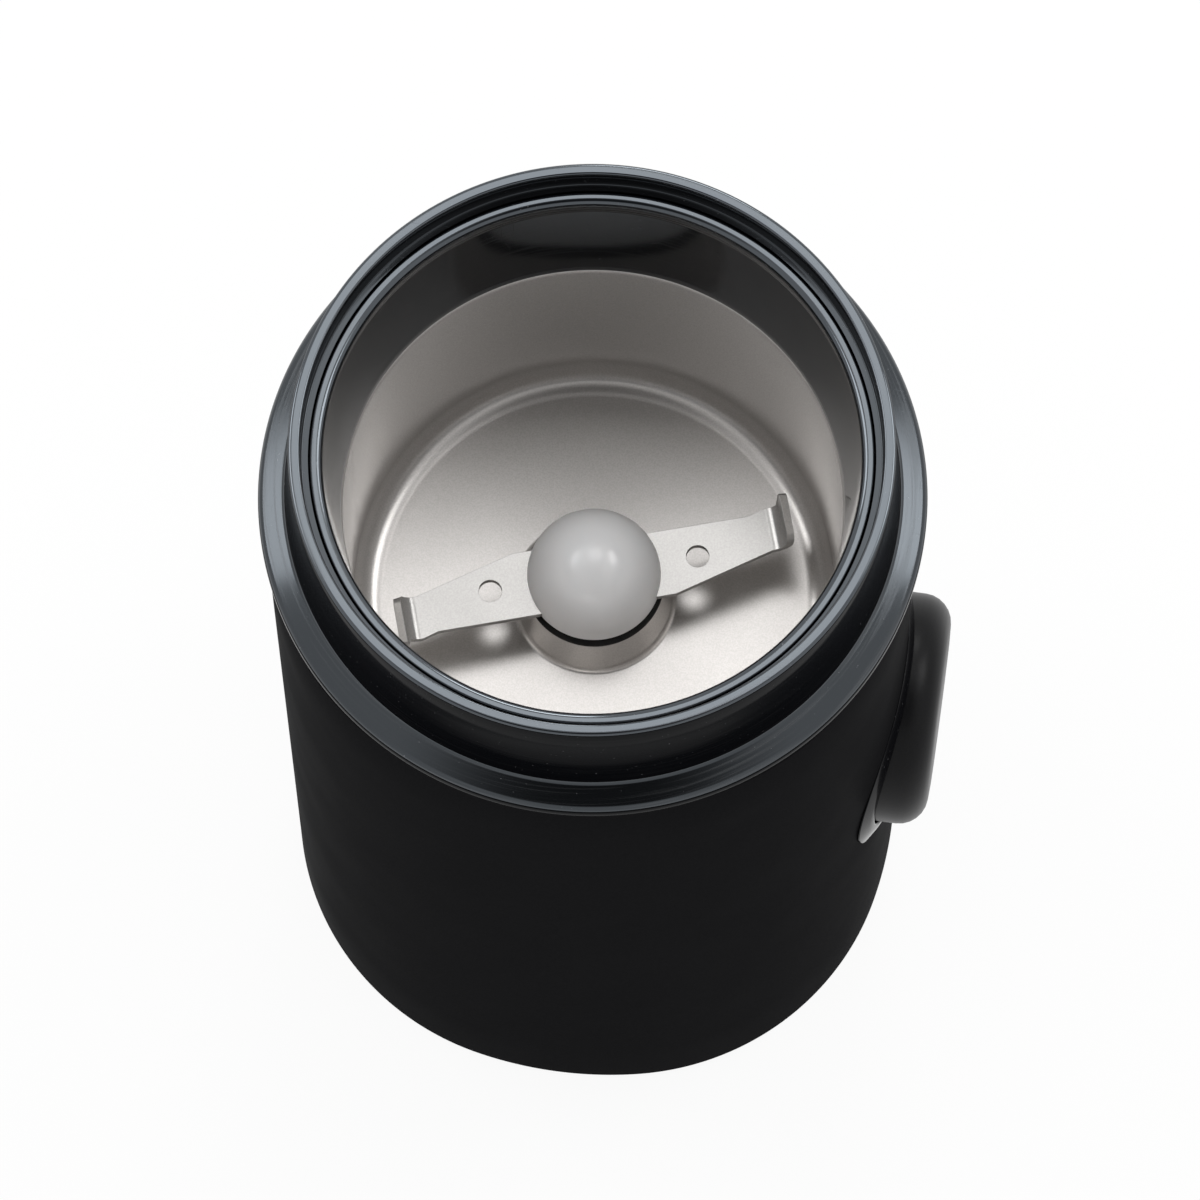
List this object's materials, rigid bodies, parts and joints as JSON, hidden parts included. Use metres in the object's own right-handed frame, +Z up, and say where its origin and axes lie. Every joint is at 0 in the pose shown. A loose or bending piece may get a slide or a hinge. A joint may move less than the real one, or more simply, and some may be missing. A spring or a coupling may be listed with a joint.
{
  "type": "electric spice grinder",
  "caption": "Electric blade grinder base: round-cornered housing, glossy collar, steel bowl with two-arm blade and domed hub, side push button, motor inside.",
  "frame": {"origin": "the point on the counter straight under the drive axis", "axes": "+Z up along the drive axis, +X out through the push button, +Y out through the cord inlet"},
  "size_m": [0.0975, 0.0936, 0.156],
  "materials": {
    "matte_black": "satin-matte moulded",
    "gloss_black": "high gloss moulded",
    "button_black": "satin-matte moulded",
    "bowl_steel": "satin spun",
    "blade_steel": "satin stamped",
    "bright_steel": "plated",
    "hub_white": "translucent gloss",
    "black_rubber": "matt",
    "inner_nylon": "moulded nylon",
    "inner_black": "moulded",
    "lamination": "stacked laminations",
    "copper": "enamelled copper wire",
    "bronze": "sintered bronze",
    "brass": "turned",
    "carbon": "pressed carbon",
    "film_yellow": "film capacitor case",
    "switch_red": "moulded"
  },
  "bodies": {
    "grinder_base": {"housing": "matte_black", "collar": "gloss_black", "inner_sleeve": "gloss_black", "bowl": "bowl_steel", "bowl_gasket": "black_rubber", "shaft_seal": "black_rubber", "button_bezel": "gloss_black", "button_guide": "inner_black", "base_plate": "inner_black", "rubber_feet": "black_rubber", "base_screws": "bright_steel", "cord_inlet": "black_rubber", "motor_deck": "inner_nylon", "motor_cradle": "inner_black", "motor_screws": "bright_steel", "deck_washers": "black_rubber", "stator_core": "lamination", "field_coils": "copper", "upper_bush": "bronze", "lower_bush": "bronze", "brush_holders": "brass", "carbon_brushes": "carbon", "brush_springs": "bright_steel", "switch_body": "inner_black", "switch_terminals": "brass", "switch_screws": "bright_steel", "lever_pin": "bright_steel", "capacitor": "film_yellow", "thermal_cutout": "bright_steel"},
    "rotor": {"shaft": "bright_steel", "thrust_washers": "inner_nylon", "rotor_core": "lamination", "rotor_windings": "copper", "commutator": "copper", "cooling_fan": "inner_black", "blade": "blade_steel", "blade_hub": "hub_white", "hub_insert": "brass"},
    "button": {"push_button": "button_black", "button_spring": "bright_steel"},
    "lever": {"switch_lever": "bright_steel"},
    "plunger": {"switch_plunger": "switch_red"}
  },
  "joints": [
    {"name": "motor_spin", "type": "hinge", "parent": "grinder_base", "child": "rotor", "pos_m": [0, 0, 0], "axis": [0, 0, 1], "continuous": true},
    {"name": "button_press", "type": "slide", "parent": "grinder_base", "child": "button", "axis": [-1, 0, 0], "range_m": [0, 0.003], "stiffness_N_per_m": 700, "springref_m": -0.004, "deforming": ["button_spring"]},
    {"name": "lever_swing", "type": "hinge", "parent": "grinder_base", "child": "lever", "pos_m": [0.033, 0, 0.085], "axis": [0, 1, 0], "range_deg": [0, 7.5]},
    {"name": "plunger_slide", "type": "slide", "parent": "grinder_base", "child": "plunger", "axis": [-1, 0, 0], "range_m": [0, 0.00105]}
  ],
  "couplings": [
    {"joint": "lever_swing", "follows": "button_press", "rad_per_m": 41.667},
    {"joint": "plunger_slide", "follows": "button_press", "ratio": 0.3333}
  ]
}
